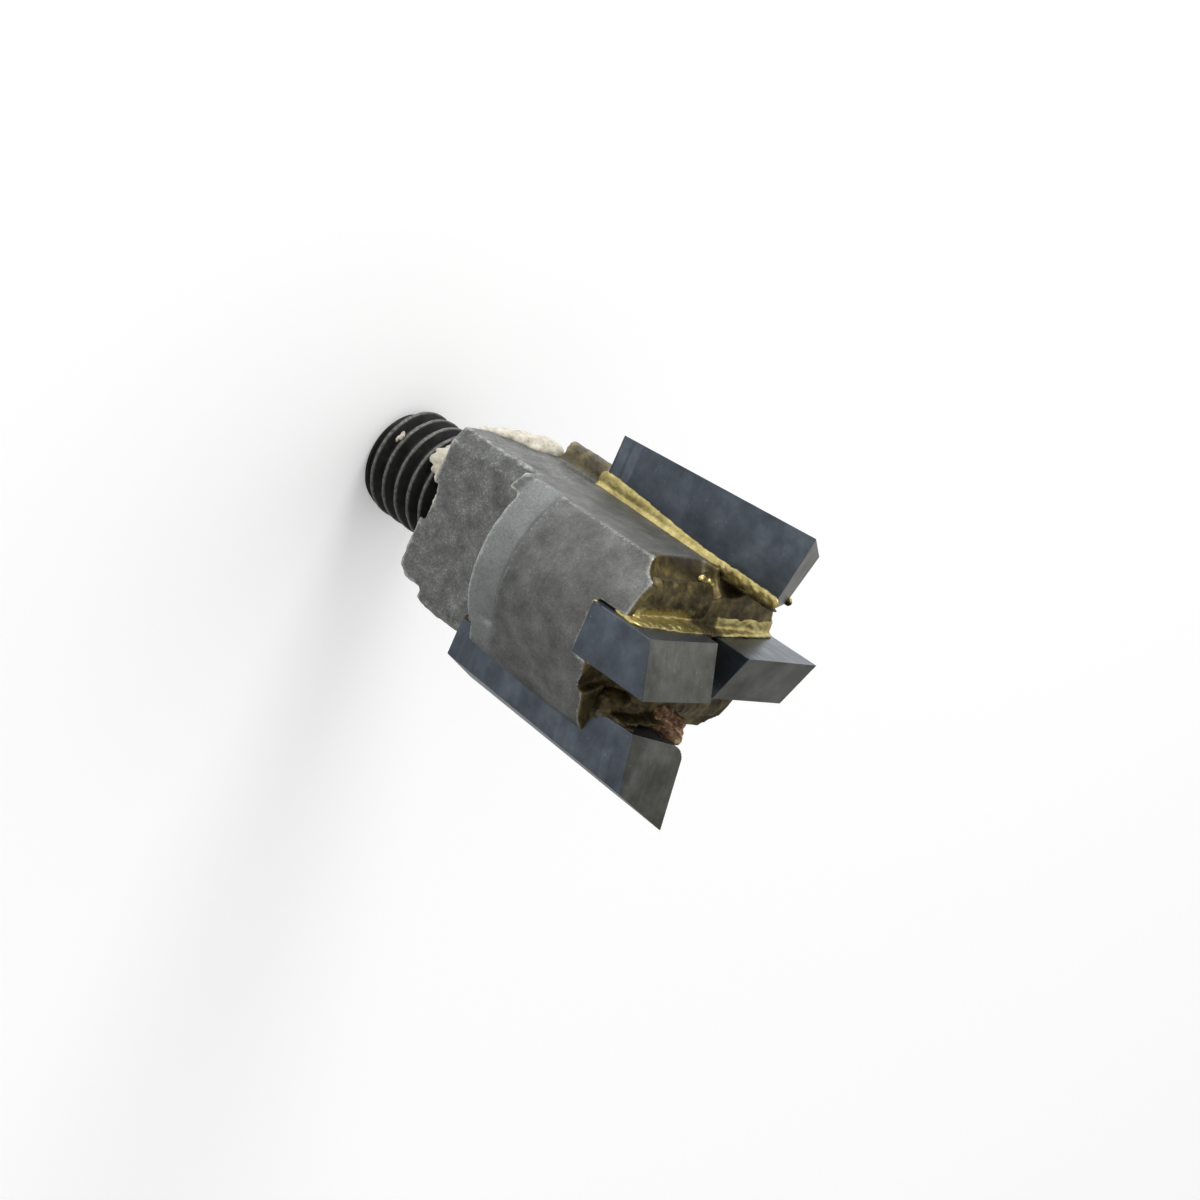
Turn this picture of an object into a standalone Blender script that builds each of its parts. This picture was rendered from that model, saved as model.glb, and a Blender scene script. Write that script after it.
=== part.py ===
"""Plunge cutter: a steel body with two long side tips and two short end tips of carbide.

The tool axis is Z, with the cutting end up and the free end of the threaded stud on Z = 0.
Side tip A lies on +X and end tip C on +Y; B and D are their copies half a turn on.
Seen from the cutting end the tool turns counter-clockwise.
"""

import math

import bmesh
import bpy
from mathutils import Matrix, Vector

# Threaded stud, a 3/8 inch 16 TPI thread.
STUD_LENGTH = 0.0092
STUD_DIAMETER = 0.00945
THREAD_PITCH = 0.0015875
THREAD_DEPTH = 0.00086
THREAD_START = 0.0003
THREAD_COLUMNS = 32
ROWS_PER_PITCH = 8
STUD_POINT = 0.0007
STUD_SOCKET_DEPTH = 0.0080

# Steel body.
BODY_DIAMETER = 0.0183
BODY_LENGTH = 0.0260
BODY_BACK_CHAMFER = 0.0004
WRENCH_FLATS_ACROSS = 0.0110
WRENCH_FLATS_LENGTH = 0.0105
WRENCH_CORNER_LENGTH = 0.0080
WRENCH_CORNER_AT = 0.00515
COLLAR_ACROSS = 0.0132
COLLAR_LENGTH = 0.0031
COLLAR_BEVEL_WIDE = 0.0014
COLLAR_BEVEL_DEEP = 0.0008
BAND_WIDTH = 0.0027
BAND_DEPTH = 0.00035
BAND_RUN_OUT = 0.0005

# Chip gullet in front of each side tip.
GULLET_FLOOR = 0.0066
LOBE_DROP = 0.0004
LOBE_RISE = 0.0014

# Scoop ground into the cutting end of the body, at the front of each chip gullet.
SCOOP_OUT = 0.0074
SCOOP_TOWARD_RAKE = 0.0005
SCOOP_LIFT = 0.0008
SCOOP_HALF_WIDTH = 0.0028
SCOOP_HALF_LENGTH = 0.0090
SCOOP_DEPTH = 0.0040
SCOOP_TURN = math.radians(9.0)
DISH_OUT = 0.0069
DISH_FORWARD = 0.0034
DISH_LIFT = 0.0012
DISH_HALF_WIDTH = 0.0036
DISH_HALF_LENGTH = 0.0060
DISH_DEPTH = 0.0023

# Step milled into the cutting end of the body ahead of each end tip, behind a side tip.
END_STEP_DROP = 0.0019

# Side tips.
CUTTER_DIAMETER = 0.0250
SIDE_TIP_OVERHANG = 0.0054
SIDE_TIP_LENGTH = 0.0220
SIDE_TIP_THICKNESS = 0.0041
SIDE_TIP_ROOT = 0.00595
SIDE_TIP_OFF_CENTRE = 0.00124
SIDE_TIP_LEAN = math.radians(4.1)
SIDE_TIP_BACK_TAPER = math.radians(3.55)
SIDE_RELIEF = 0.0020
SIDE_END_RELIEF = 0.0022
SIDE_END_DISH = math.radians(9.2)

# End tips.
END_TIP_OVERHANG = 0.0046
END_TIP_LENGTH = 0.0076
END_TIP_THICKNESS = 0.00426
END_TIP_RAKE_AT = 0.00195
END_TIP_INNER = 0.00113
END_TIP_OUTER = 0.00952
END_TIP_RELIEF = 0.00163
END_TIP_RISE = 0.00028
END_TIP_TURN = math.radians(0.95)

# Braze joints and fits.
BRAZE = 0.0003
GAP = 0.0003
BRAZE_BEAD = 0.0009
BACK_LEG_TOP = 0.0068
SIDE_BRAZE_FRONT = 0.0040
STUD_CLEARANCE = 0.0003
CEMENT_WIDTH = 0.0005
CEMENT_DEPTH = 0.0006

BODY_BACK = STUD_LENGTH
BODY_FRONT = BODY_BACK + BODY_LENGTH
SIDE_TIP_FRONT = BODY_FRONT + SIDE_TIP_OVERHANG
END_TIP_FRONT = BODY_FRONT + END_TIP_OVERHANG
JOINT = GAP + BRAZE + GAP
FAR = 0.05
HALF_TURN = math.pi
ROUND_STEPS = 64


def clear_scene():
    for old in list(bpy.data.objects):
        bpy.data.objects.remove(old)


def material(name, colour, roughness, metallic):
    made = bpy.data.materials.new(name)
    made.use_nodes = True
    shader = made.node_tree.nodes["Principled BSDF"]
    shader.inputs["Base Color"].default_value = (*colour, 1.0)
    shader.inputs["Roughness"].default_value = roughness
    shader.inputs["Metallic"].default_value = metallic
    return made


def object_of(name, build, look=None):
    """An object whose mesh is what build adds to an empty bmesh."""
    mesh = bpy.data.meshes.new(name)
    bm = bmesh.new()
    build(bm)
    bmesh.ops.recalc_face_normals(bm, faces=bm.faces)
    bm.to_mesh(mesh)
    bm.free()
    made = bpy.data.objects.new(name, mesh)
    bpy.context.scene.collection.objects.link(made)
    if look:
        mesh.materials.append(look)
    return made


def copy_half_turn_on(source, name, look=None):
    made = bpy.data.objects.new(name, source.data.copy() if look else source.data)
    if look:
        made.data.materials.clear()
        made.data.materials.append(look)
    bpy.context.scene.collection.objects.link(made)
    made.matrix_world = Matrix.Rotation(HALF_TURN, 4, "Z") @ source.matrix_world
    return made


def cuts(body, cutter):
    cutter.hide_render = True
    cutter.display_type = "WIRE"
    cut = body.modifiers.new(cutter.name, "BOOLEAN")
    cut.operation = "DIFFERENCE"
    cut.solver = "EXACT"
    cut.object = cutter


def cuts_twice(body, cutter):
    cuts(body, cutter)
    cuts(body, copy_half_turn_on(cutter, cutter.name + "_opposite"))


def around(radius, turn, height):
    """The point at this radius and height, a share of a turn on from +X."""
    angle = 2 * math.pi * turn
    return (radius * math.cos(angle), radius * math.sin(angle), height)


def turned(profile, steps):
    """Builds the solid turned from a profile of (radius, height), both ends closed."""

    def build(bm):
        rings = []
        for radius, height in profile:
            rings.append([bm.verts.new(around(radius, i / steps, height)) for i in range(steps)])
        for low, high in zip(rings, rings[1:]):
            for i in range(steps):
                j = (i + 1) % steps
                bm.faces.new((low[i], low[j], high[j], high[i]))
        bm.faces.new(rings[0])
        bm.faces.new(rings[-1])

    return build


def box(low, high):
    """Builds a box between two corners."""

    def build(bm):
        bmesh.ops.create_cube(bm, size=1.0)
        size = Vector(high) - Vector(low)
        middle = (Vector(high) + Vector(low)) / 2
        for v in bm.verts:
            v.co = Vector(v.co[k] * size[k] + middle[k] for k in range(3))

    return build


def prism(outline, place):
    """Builds the solid between an outline's two ends, each point put in space by place(point, end)."""

    def build(bm):
        ends = [[bm.verts.new(place(p, end)) for p in outline] for end in (0, 1)]
        for i in range(len(outline)):
            j = (i + 1) % len(outline)
            bm.faces.new((ends[0][i], ends[0][j], ends[1][j], ends[1][i]))
        bm.faces.new(ends[0])
        bm.faces.new(ends[1])

    return build


def upright(outline, low, high):
    return prism(outline, lambda p, end: (p[0], p[1], high if end else low))


clear_scene()

CAST_STEEL = material("cast_steel", (0.17, 0.17, 0.17), 0.55, 0.9)
BLACK_OXIDE = material("black_oxide_steel", (0.02, 0.02, 0.018), 0.45, 0.8)
CEMENT = material("hardened_cement", (0.62, 0.58, 0.48), 0.8, 0.0)
SIDE_CARBIDE_A = material("side_carbide_a", (0.07, 0.085, 0.11), 0.35, 0.9)
SIDE_CARBIDE_B = material("side_carbide_b", (0.07, 0.085, 0.11), 0.35, 0.9)
END_CARBIDE_C = material("end_carbide_c", (0.10, 0.12, 0.14), 0.35, 0.9)
END_CARBIDE_D = material("end_carbide_d", (0.10, 0.12, 0.14), 0.35, 0.9)
SIDE_BRAZE_A = material("side_braze_a", (0.50, 0.40, 0.13), 0.35, 1.0)
SIDE_BRAZE_B = material("side_braze_b", (0.50, 0.40, 0.13), 0.35, 1.0)
END_BRAZE_C = material("end_braze_c", (0.50, 0.40, 0.13), 0.35, 1.0)
END_BRAZE_D = material("end_braze_d", (0.50, 0.40, 0.13), 0.35, 1.0)

# The side tips stand in their own frame: distance out from the axis, distance in front of the
# rake face, and distance back along the tip from its outer front corner.
LEAN = Matrix.Rotation(-SIDE_TIP_LEAN, 4, "X")
SIDE_TIP_FRAME = Matrix.Translation((0, -SIDE_TIP_OFF_CENTRE, SIDE_TIP_FRONT)) @ LEAN
CUTTER_RADIUS = CUTTER_DIAMETER / 2
BODY_RADIUS = BODY_DIAMETER / 2


def side_tip(bm):
    back_radius = CUTTER_RADIUS - SIDE_TIP_LENGTH * math.tan(SIDE_TIP_BACK_TAPER)
    dish = (CUTTER_RADIUS - SIDE_TIP_ROOT) * math.tan(SIDE_END_DISH)

    def end_outline(front):
        rake, back = 0.0, -SIDE_TIP_THICKNESS
        outer = CUTTER_RADIUS if front else back_radius
        root = SIDE_TIP_ROOT
        heights = (0.0, -SIDE_END_RELIEF, -SIDE_END_RELIEF - dish, -dish)
        points = ((outer, rake), (outer - SIDE_RELIEF, back), (root, back), (root, rake))
        return [(x, y, z if front else -SIDE_TIP_LENGTH) for (x, y), z in zip(points, heights)]

    prism(list(zip(end_outline(True), end_outline(False))), lambda p, end: p[end])(bm)


def end_tip(bm):
    back_x = END_TIP_THICKNESS - END_TIP_RAKE_AT
    seat = END_TIP_FRONT - END_TIP_LENGTH
    tops = {
        (-END_TIP_RAKE_AT, END_TIP_INNER): END_TIP_FRONT,
        (back_x, END_TIP_INNER): END_TIP_FRONT - END_TIP_RELIEF,
        (back_x, END_TIP_OUTER): END_TIP_FRONT + END_TIP_RISE - END_TIP_RELIEF,
        (-END_TIP_RAKE_AT, END_TIP_OUTER): END_TIP_FRONT + END_TIP_RISE,
    }
    prism(list(tops), lambda p, end: (p[0], p[1], tops[p] if end else seat))(bm)


side_tip_a = object_of("side_tip_a", side_tip, SIDE_CARBIDE_A)
side_tip_a.matrix_world = SIDE_TIP_FRAME
side_tip_b = copy_half_turn_on(side_tip_a, "side_tip_b", SIDE_CARBIDE_B)

end_tip_c = object_of("end_tip_c", end_tip, END_CARBIDE_C)
end_tip_c.matrix_world = Matrix.Rotation(END_TIP_TURN, 4, "Z")
end_tip_d = copy_half_turn_on(end_tip_c, "end_tip_d", END_CARBIDE_D)

# Braze round each side tip: a channel under its root, its front leg ending in a bead above the
# gullet floor and its back leg in the body.


def side_braze(bm):
    inside_front, inside_back = GAP, -SIDE_TIP_THICKNESS - GAP
    bottom = SIDE_TIP_ROOT - GAP
    bead_base = GULLET_FLOOR + GAP
    outline = [
        (inside_front, bead_base + BRAZE_BEAD),
        (inside_front, bottom),
        (inside_back, bottom),
        (inside_back, BACK_LEG_TOP),
        (inside_back - BRAZE, BACK_LEG_TOP),
        (inside_back - BRAZE, bottom - BRAZE),
        (inside_front + BRAZE, bottom - BRAZE),
        (inside_front + BRAZE, bead_base),
        (inside_front + BRAZE_BEAD, bead_base),
    ]
    front, back = -SIDE_BRAZE_FRONT, -SIDE_TIP_LENGTH
    prism(outline, lambda p, end: (p[1], p[0], front if end else back))(bm)


def end_braze(bm):
    back_x = END_TIP_THICKNESS - END_TIP_RAKE_AT
    seat = END_TIP_FRONT - END_TIP_LENGTH
    outline = [
        (-END_TIP_RAKE_AT, seat - GAP),
        (-END_TIP_RAKE_AT, seat - GAP - BRAZE),
        (back_x + GAP + BRAZE, seat - GAP - BRAZE),
        (back_x + GAP + BRAZE, BODY_FRONT),
        (back_x + GAP, BODY_FRONT),
        (back_x + GAP, seat - GAP),
    ]
    inner, outer = END_TIP_INNER, BODY_RADIUS - JOINT
    prism(outline, lambda p, end: (p[0], outer if end else inner, p[1]))(bm)


side_braze_a = object_of("side_braze_a", side_braze, SIDE_BRAZE_A)
side_braze_a.matrix_world = SIDE_TIP_FRAME
side_braze_b = copy_half_turn_on(side_braze_a, "side_braze_b", SIDE_BRAZE_B)
end_braze_c = object_of("end_braze_c", end_braze, END_BRAZE_C)
end_braze_c.matrix_world = Matrix.Rotation(END_TIP_TURN, 4, "Z")
end_braze_d = copy_half_turn_on(end_braze_c, "end_braze_d", END_BRAZE_D)

# Body: turned, then flats, gullets, scoops, tip seats and stud socket are cut from it.
band_front = BODY_BACK + WRENCH_FLATS_LENGTH + BAND_WIDTH
cutter_body = object_of(
    "cutter_body",
    turned(
        [
            (BODY_RADIUS - BODY_BACK_CHAMFER, BODY_BACK),
            (BODY_RADIUS, BODY_BACK + BODY_BACK_CHAMFER),
            (BODY_RADIUS, BODY_BACK + WRENCH_FLATS_LENGTH),
            (BODY_RADIUS - BAND_DEPTH, band_front),
            (BODY_RADIUS, band_front + BAND_RUN_OUT),
            (BODY_RADIUS, BODY_FRONT),
        ],
        ROUND_STEPS,
    ),
    CAST_STEEL,
)

half_flats = WRENCH_FLATS_ACROSS / 2
flat_end = BODY_BACK + WRENCH_FLATS_LENGTH
wrench_flat = box((-FAR, half_flats, -FAR), (WRENCH_CORNER_AT, FAR, flat_end))
cuts_twice(cutter_body, object_of("wrench_flat", wrench_flat))
corner_end = BODY_BACK + WRENCH_CORNER_LENGTH
wrench_corner = box((WRENCH_CORNER_AT - GAP, half_flats, -FAR), (FAR, FAR, corner_end))
cuts_twice(cutter_body, object_of("wrench_corner", wrench_corner))

half_collar = COLLAR_ACROSS / 2
collar_end = BODY_BACK + COLLAR_LENGTH
collar_side = box((half_collar, -FAR, -FAR), (FAR, FAR, collar_end))
cuts_twice(cutter_body, object_of("collar_side", collar_side))
bevel = [
    (half_collar - COLLAR_BEVEL_WIDE, half_flats),
    (half_collar, half_flats - COLLAR_BEVEL_DEEP),
    (FAR, half_flats - COLLAR_BEVEL_DEEP),
    (FAR, FAR),
    (half_collar - COLLAR_BEVEL_WIDE, FAR),
]
cuts_twice(cutter_body, object_of("collar_bevel", upright(bevel, -FAR, corner_end)))

rake_at_seat = -SIDE_TIP_OFF_CENTRE - SIDE_TIP_LENGTH * math.sin(SIDE_TIP_LEAN)
gullet = [
    (GULLET_FLOOR, FAR),
    (GULLET_FLOOR, rake_at_seat),
    (GULLET_FLOOR + LOBE_RISE, rake_at_seat - LOBE_DROP),
    (FAR, rake_at_seat - LOBE_DROP),
    (FAR, FAR),
]
cuts_twice(cutter_body, object_of("chip_gullet", upright(gullet, collar_end, FAR)))

seat = object_of(
    "side_tip_seat",
    box(
        (SIDE_TIP_ROOT - JOINT, -SIDE_TIP_THICKNESS - JOINT, -SIDE_TIP_LENGTH - GAP),
        (FAR, JOINT, FAR),
    ),
)
seat.matrix_world = SIDE_TIP_FRAME
cuts_twice(cutter_body, seat)


def hollow(half_width, half_length, depth):
    """Builds the ellipsoid that a hollow in the front face is cut with."""

    def build(bm):
        bmesh.ops.create_uvsphere(bm, u_segments=40, v_segments=24, radius=1.0)
        bmesh.ops.scale(bm, verts=bm.verts, vec=(half_width, half_length, depth))

    return build


# The two sides differ here: tip A has the deep scoop, tip B a shallow dish, and only tip C a step.
end_scoop = object_of("end_scoop", hollow(SCOOP_HALF_WIDTH, SCOOP_HALF_LENGTH, SCOOP_DEPTH))
scoop_middle = (SCOOP_OUT, -SCOOP_TOWARD_RAKE, BODY_FRONT + SCOOP_LIFT)
end_scoop.matrix_world = Matrix.Translation(scoop_middle) @ Matrix.Rotation(SCOOP_TURN, 4, "Z")
cuts(cutter_body, end_scoop)
end_dish = object_of("end_dish", hollow(DISH_HALF_WIDTH, DISH_HALF_LENGTH, DISH_DEPTH))
end_dish.matrix_world = Matrix.Translation((-DISH_OUT, -DISH_FORWARD, BODY_FRONT + DISH_LIFT))
cuts(cutter_body, end_dish)

side_tip_back = SIDE_TIP_OFF_CENTRE + SIDE_TIP_THICKNESS
end_step = box((-FAR, side_tip_back, BODY_FRONT - END_STEP_DROP), (-END_TIP_RAKE_AT - GAP, FAR, FAR))
cuts(cutter_body, object_of("end_step", end_step))

end_seat = object_of(
    "end_tip_seat",
    box(
        (-END_TIP_RAKE_AT - GAP, END_TIP_INNER - GAP, END_TIP_FRONT - END_TIP_LENGTH - JOINT),
        (END_TIP_THICKNESS - END_TIP_RAKE_AT + JOINT, FAR, FAR),
    ),
)
end_seat.matrix_world = Matrix.Rotation(END_TIP_TURN, 4, "Z")
cuts_twice(cutter_body, end_seat)

# Stud, screwed into the socket and sealed with a ring of cement at its root.
STUD_RADIUS = STUD_DIAMETER / 2
SOCKET_RADIUS = STUD_RADIUS + STUD_CLEARANCE
cuts(
    cutter_body,
    object_of(
        "stud_socket",
        turned(
            [
                (SOCKET_RADIUS + CEMENT_WIDTH, 0.0),
                (SOCKET_RADIUS + CEMENT_WIDTH, BODY_BACK + CEMENT_DEPTH),
                (SOCKET_RADIUS, BODY_BACK + CEMENT_DEPTH + CEMENT_WIDTH),
                (SOCKET_RADIUS, BODY_BACK + STUD_SOCKET_DEPTH + GAP),
            ],
            ROUND_STEPS,
        ),
    ),
)


def thread_radius(turn, height):
    """Radius of a trapezoidal right-hand thread at an angle and a height."""
    phase = ((height - THREAD_START) / THREAD_PITCH - turn) % 1.0
    ridge = abs(phase - 0.5) * 2
    share = min(max((ridge - 0.15) / 0.6, 0.0), 1.0)
    return STUD_RADIUS - THREAD_DEPTH * share


def stud(bm):
    top = STUD_LENGTH + STUD_SOCKET_DEPTH
    threaded = STUD_LENGTH - GAP
    count = round(threaded / THREAD_PITCH * ROWS_PER_PITCH)
    heights = [threaded * k / count for k in range(count + 1)] + [threaded + GAP, top]
    rings = []
    for height in heights:
        ring = []
        for i in range(THREAD_COLUMNS):
            if height > threaded:
                radius = STUD_RADIUS - THREAD_DEPTH
            else:
                radius = thread_radius(i / THREAD_COLUMNS, height)
                radius = min(radius, STUD_RADIUS - STUD_POINT + height)
            ring.append(bm.verts.new(around(radius, i / THREAD_COLUMNS, height)))
        rings.append(ring)
    for low, high in zip(rings, rings[1:]):
        for i in range(THREAD_COLUMNS):
            j = (i + 1) % THREAD_COLUMNS
            bm.faces.new((low[i], low[j], high[j], high[i]))
    bm.faces.new(rings[0])
    bm.faces.new(rings[-1])


threaded_stud = object_of("threaded_stud", stud, BLACK_OXIDE)


def cement_ring(bm):
    inner = STUD_RADIUS + GAP
    outer = SOCKET_RADIUS + CEMENT_WIDTH - GAP
    low, high = BODY_BACK - CEMENT_DEPTH, BODY_BACK + CEMENT_DEPTH - GAP
    corners = [(inner, low), (outer, low), (outer, high), (inner, high)]
    rings = []
    for radius, height in corners:
        rings.append([bm.verts.new(around(radius, i / ROUND_STEPS, height)) for i in range(ROUND_STEPS)])
    for first, second in zip(rings, rings[1:] + rings[:1]):
        for i in range(ROUND_STEPS):
            j = (i + 1) % ROUND_STEPS
            bm.faces.new((first[i], first[j], second[j], second[i]))


stud_cement_ring = object_of("stud_cement_ring", cement_ring, CEMENT)

for round_piece in (cutter_body, threaded_stud, stud_cement_ring):
    round_piece.data.shade_smooth()
    round_piece.data.set_sharp_from_angle(angle=math.radians(30))
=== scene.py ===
import math

import bmesh
import bpy
import numpy as np
from mathutils import Matrix, Vector, noise


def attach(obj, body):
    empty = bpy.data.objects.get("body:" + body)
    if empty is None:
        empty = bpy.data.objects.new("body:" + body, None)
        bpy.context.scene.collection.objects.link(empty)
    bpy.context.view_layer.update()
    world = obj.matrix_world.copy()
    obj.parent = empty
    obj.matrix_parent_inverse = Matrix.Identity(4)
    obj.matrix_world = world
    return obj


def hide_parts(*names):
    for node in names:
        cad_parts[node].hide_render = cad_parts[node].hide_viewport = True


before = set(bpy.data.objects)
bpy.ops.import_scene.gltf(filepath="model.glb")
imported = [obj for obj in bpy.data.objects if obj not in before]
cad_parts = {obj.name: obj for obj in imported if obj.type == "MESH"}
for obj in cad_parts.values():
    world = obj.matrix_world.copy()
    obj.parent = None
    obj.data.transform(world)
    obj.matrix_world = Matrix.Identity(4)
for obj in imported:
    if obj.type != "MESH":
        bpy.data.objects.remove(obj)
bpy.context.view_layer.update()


# --- Camera -----------------------------------------------------------------------------------
# A long lens a hand's width from the cutting end, looking down the tool and rolled so that the
# stud points up and to the left.

camera_data = bpy.data.cameras.new("camera")
camera_data.lens = 75.03
camera_data.sensor_width = 36.0
camera_data.clip_start = 0.01
camera_data.clip_end = 20.0
camera = bpy.data.objects.new("camera", camera_data)
bpy.context.scene.collection.objects.link(camera)
camera_place = Vector((0.04644, 0.15053, 0.14228))
camera_target = Vector((-0.00048, 0.00015, 0.02547))
look = (camera_target - camera_place).normalized()
level_right = look.cross(Vector((0, 0, 1))).normalized()
level_up = level_right.cross(look)
roll = math.radians(124.545)
right = math.cos(roll) * level_right + math.sin(roll) * level_up
up = right.cross(look)
camera.matrix_world = Matrix.Translation(camera_place) @ Matrix((right, up, -look)).transposed().to_4x4()
bpy.context.scene.camera = camera


# --- Cutter body ------------------------------------------------------------------------------
# A steel casting, turned and milled: wrench flats, chip gullets, scoops at the cutting end and
# the seats for the tips. Grit blasting left it matt and grey, handling wore its edges bright,
# and the brazing torch stained its front end brown and gold.

# Bare sizes are in mm, and MM turns them into metres. FAR is past every side of the tool.
MM = 0.001
FAR = 60
COLLAR_BACK = 9.2
COLLAR_HALF = 6.6
FLAT_HALF = 5.5
FLAT_END = 19.7
CORNER_END = 18.4
GULLET_FLOOR = 6.6
GULLET_BACK = 12.3
BODY_FRONT = 35.2
BODY_RADIUS = 9.2
TIP_FRONT = 40.6 * MM
TIP_LEAN = math.radians(4.1)
TIP_OFF_CENTRE = 1.24 * MM
TIP_FRAME = Matrix.Translation((0, -TIP_OFF_CENTRE, TIP_FRONT)) @ Matrix.Rotation(-TIP_LEAN, 4, "X")
END_TURN = Matrix.Rotation(math.radians(0.95), 4, "Z")
HALF_TURN = Matrix.Rotation(math.pi, 4, "Z")
X_Z_PLANE = Matrix(((1, 0, 0, 0), (0, 0, -1, 0), (0, 1, 0, 0), (0, 0, 0, 1)))


def new_object(name, bm):
    bmesh.ops.recalc_face_normals(bm, faces=bm.faces)
    mesh = bpy.data.meshes.new(name)
    bm.to_mesh(mesh)
    bm.free()
    made = bpy.data.objects.new(name, mesh)
    bpy.context.scene.collection.objects.link(made)
    return made


def turned(bm, profile, steps):
    """A profile of (radius, height) in mm, closed on the axis, spun once round Z."""
    points = [(0, profile[0][1])] + list(profile) + [(0, profile[-1][1])]
    verts = [bm.verts.new((r * MM, 0, z * MM)) for r, z in points]
    edges = [bm.edges.new(pair) for pair in zip(verts, verts[1:])]
    bmesh.ops.spin(bm, geom=verts + edges, cent=(0, 0, 0), axis=(0, 0, 1), dvec=(0, 0, 0),
                   angle=2 * math.pi, steps=steps, use_merge=True, use_duplicate=False)
    bmesh.ops.remove_doubles(bm, verts=bm.verts, dist=1e-7)


bm = bmesh.new()
turned(bm, [(8.75, COLLAR_BACK), (9.15, 9.6), (9.15, FLAT_END), (9.05, 20.6), (8.78, 22.2), (8.86, 22.6),
            (9.13, 22.95), (BODY_RADIUS, 30), (BODY_RADIUS, BODY_FRONT)], 96)
body_casting = new_object("body_casting", bm)


def block(bm, low, high, place=Matrix.Identity(4)):
    """A box between two corners in mm, added to bm."""
    size = (Vector(high) - Vector(low)) * MM
    middle = (Vector(high) + Vector(low)) / 2 * MM
    fit = place @ Matrix.Translation(middle) @ Matrix.Diagonal((*size, 1))
    return bmesh.ops.create_cube(bm, size=1.0, matrix=fit)["verts"]


def column(bm, outline, low, high, place=Matrix.Identity(4)):
    """An outline in mm in X and Y extruded from low to high, added to bm."""
    foot = [bm.verts.new((x * MM, y * MM, low * MM)) for x, y in outline]
    top = bmesh.ops.extrude_face_region(bm, geom=[bm.faces.new(foot)])["geom"]
    raised = [v for v in top if isinstance(v, bmesh.types.BMVert)]
    bmesh.ops.translate(bm, verts=raised, vec=(0, 0, (high - low) * MM))
    bmesh.ops.transform(bm, matrix=place, verts=foot + raised)


def lump(bm, middle, radii, place=Matrix.Identity(4), turn=0.0, fineness=3):
    """An ellipsoid, its middle and half axes in mm, turned about Z, added to bm."""
    size = Matrix.Diagonal((*[r * MM for r in radii], 1))
    fit = place @ Matrix.Translation(Vector(middle) * MM) @ Matrix.Rotation(turn, 4, "Z") @ size
    bmesh.ops.create_icosphere(bm, subdivisions=fineness, radius=1.0, matrix=fit)


cutters = []


def taken_from(body, name, shape, both=True):
    """Cuts shape from body with a Boolean, and its copy half a turn on as well."""
    for k in range(2 if both else 1):
        bm = bmesh.new()
        shape(bm)
        if k:
            bmesh.ops.transform(bm, matrix=HALF_TURN, verts=bm.verts)
        cut = body.modifiers.new(name, "BOOLEAN")
        cut.operation = "DIFFERENCE"
        cut.solver = "EXACT"
        cut.object = new_object(name, bm)
        cutters.append(cut.object)


# Milled faces: the wrench flats with their bevelled corners, the gullets and the lobes behind them.
taken_from(body_casting, "wrench_flat",
           lambda bm: block(bm, (-FAR, FLAT_HALF, -FAR), (5.15, FAR, FLAT_END)))
taken_from(body_casting, "wrench_corner",
           lambda bm: block(bm, (5.0, FLAT_HALF, -FAR), (FAR, FAR, CORNER_END)))
taken_from(body_casting, "collar_side",
           lambda bm: block(bm, (COLLAR_HALF, -FAR, -FAR), (FAR, FAR, GULLET_BACK)))
bevel_outline = [(5.2, FLAT_HALF), (COLLAR_HALF, 4.7), (FAR, 4.7), (FAR, FAR), (5.2, FAR)]
taken_from(body_casting, "collar_bevel", lambda bm: column(bm, bevel_outline, -FAR, CORNER_END))
corner_outline = [(-FAR, 9.0), (-7.4, 11.6), (-6.0, 9.5), (-6.0, -FAR), (-FAR, -FAR)]
taken_from(body_casting, "flat_back_corner",
           lambda bm: column(bm, corner_outline, -FAR, FAR, X_Z_PLANE), both=False)
gullet_outline = [(GULLET_FLOOR, FAR), (GULLET_FLOOR, -2.7), (6.9, -2.85), (7.6, -2.95), (8.3, -3.2),
                  (FAR, -3.2), (FAR, FAR)]
taken_from(body_casting, "chip_gullet", lambda bm: column(bm, gullet_outline, GULLET_BACK, FAR))
taken_from(body_casting, "lobe_back",
           lambda bm: block(bm, (COLLAR_HALF, -FAR, -FAR), (FAR, -2.6, 13.5)), both=False)
lobe_outline = [(8.05, 0), (8.35, -4.5), (8.0, -9), (FAR, -9), (FAR, 0)]
taken_from(body_casting, "lobe_top", lambda bm: column(bm, lobe_outline, 10, 20), both=False)
taken_from(body_casting, "side_tip_seat",
           lambda bm: block(bm, (5.75, -4.12, -22.05), (FAR, 0.1, FAR), TIP_FRAME))


def scoop(bm):
    """The hollow in front of a rake face: an ellipsoid that stops short at the tip's own line."""
    lump(bm, (7.4, -0.5, 36.0), (2.8, 9.0, 4.0), turn=math.radians(9), fineness=5)
    everything = bm.verts[:] + bm.edges[:] + bm.faces[:]
    sliced = bmesh.ops.bisect_plane(bm, geom=everything, plane_co=(0, -1.0 * MM, 0), plane_no=(0, 1, 0),
                                    clear_inner=True)["geom_cut"]
    bmesh.ops.holes_fill(bm, edges=[e for e in sliced if isinstance(e, bmesh.types.BMEdge)])


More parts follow.
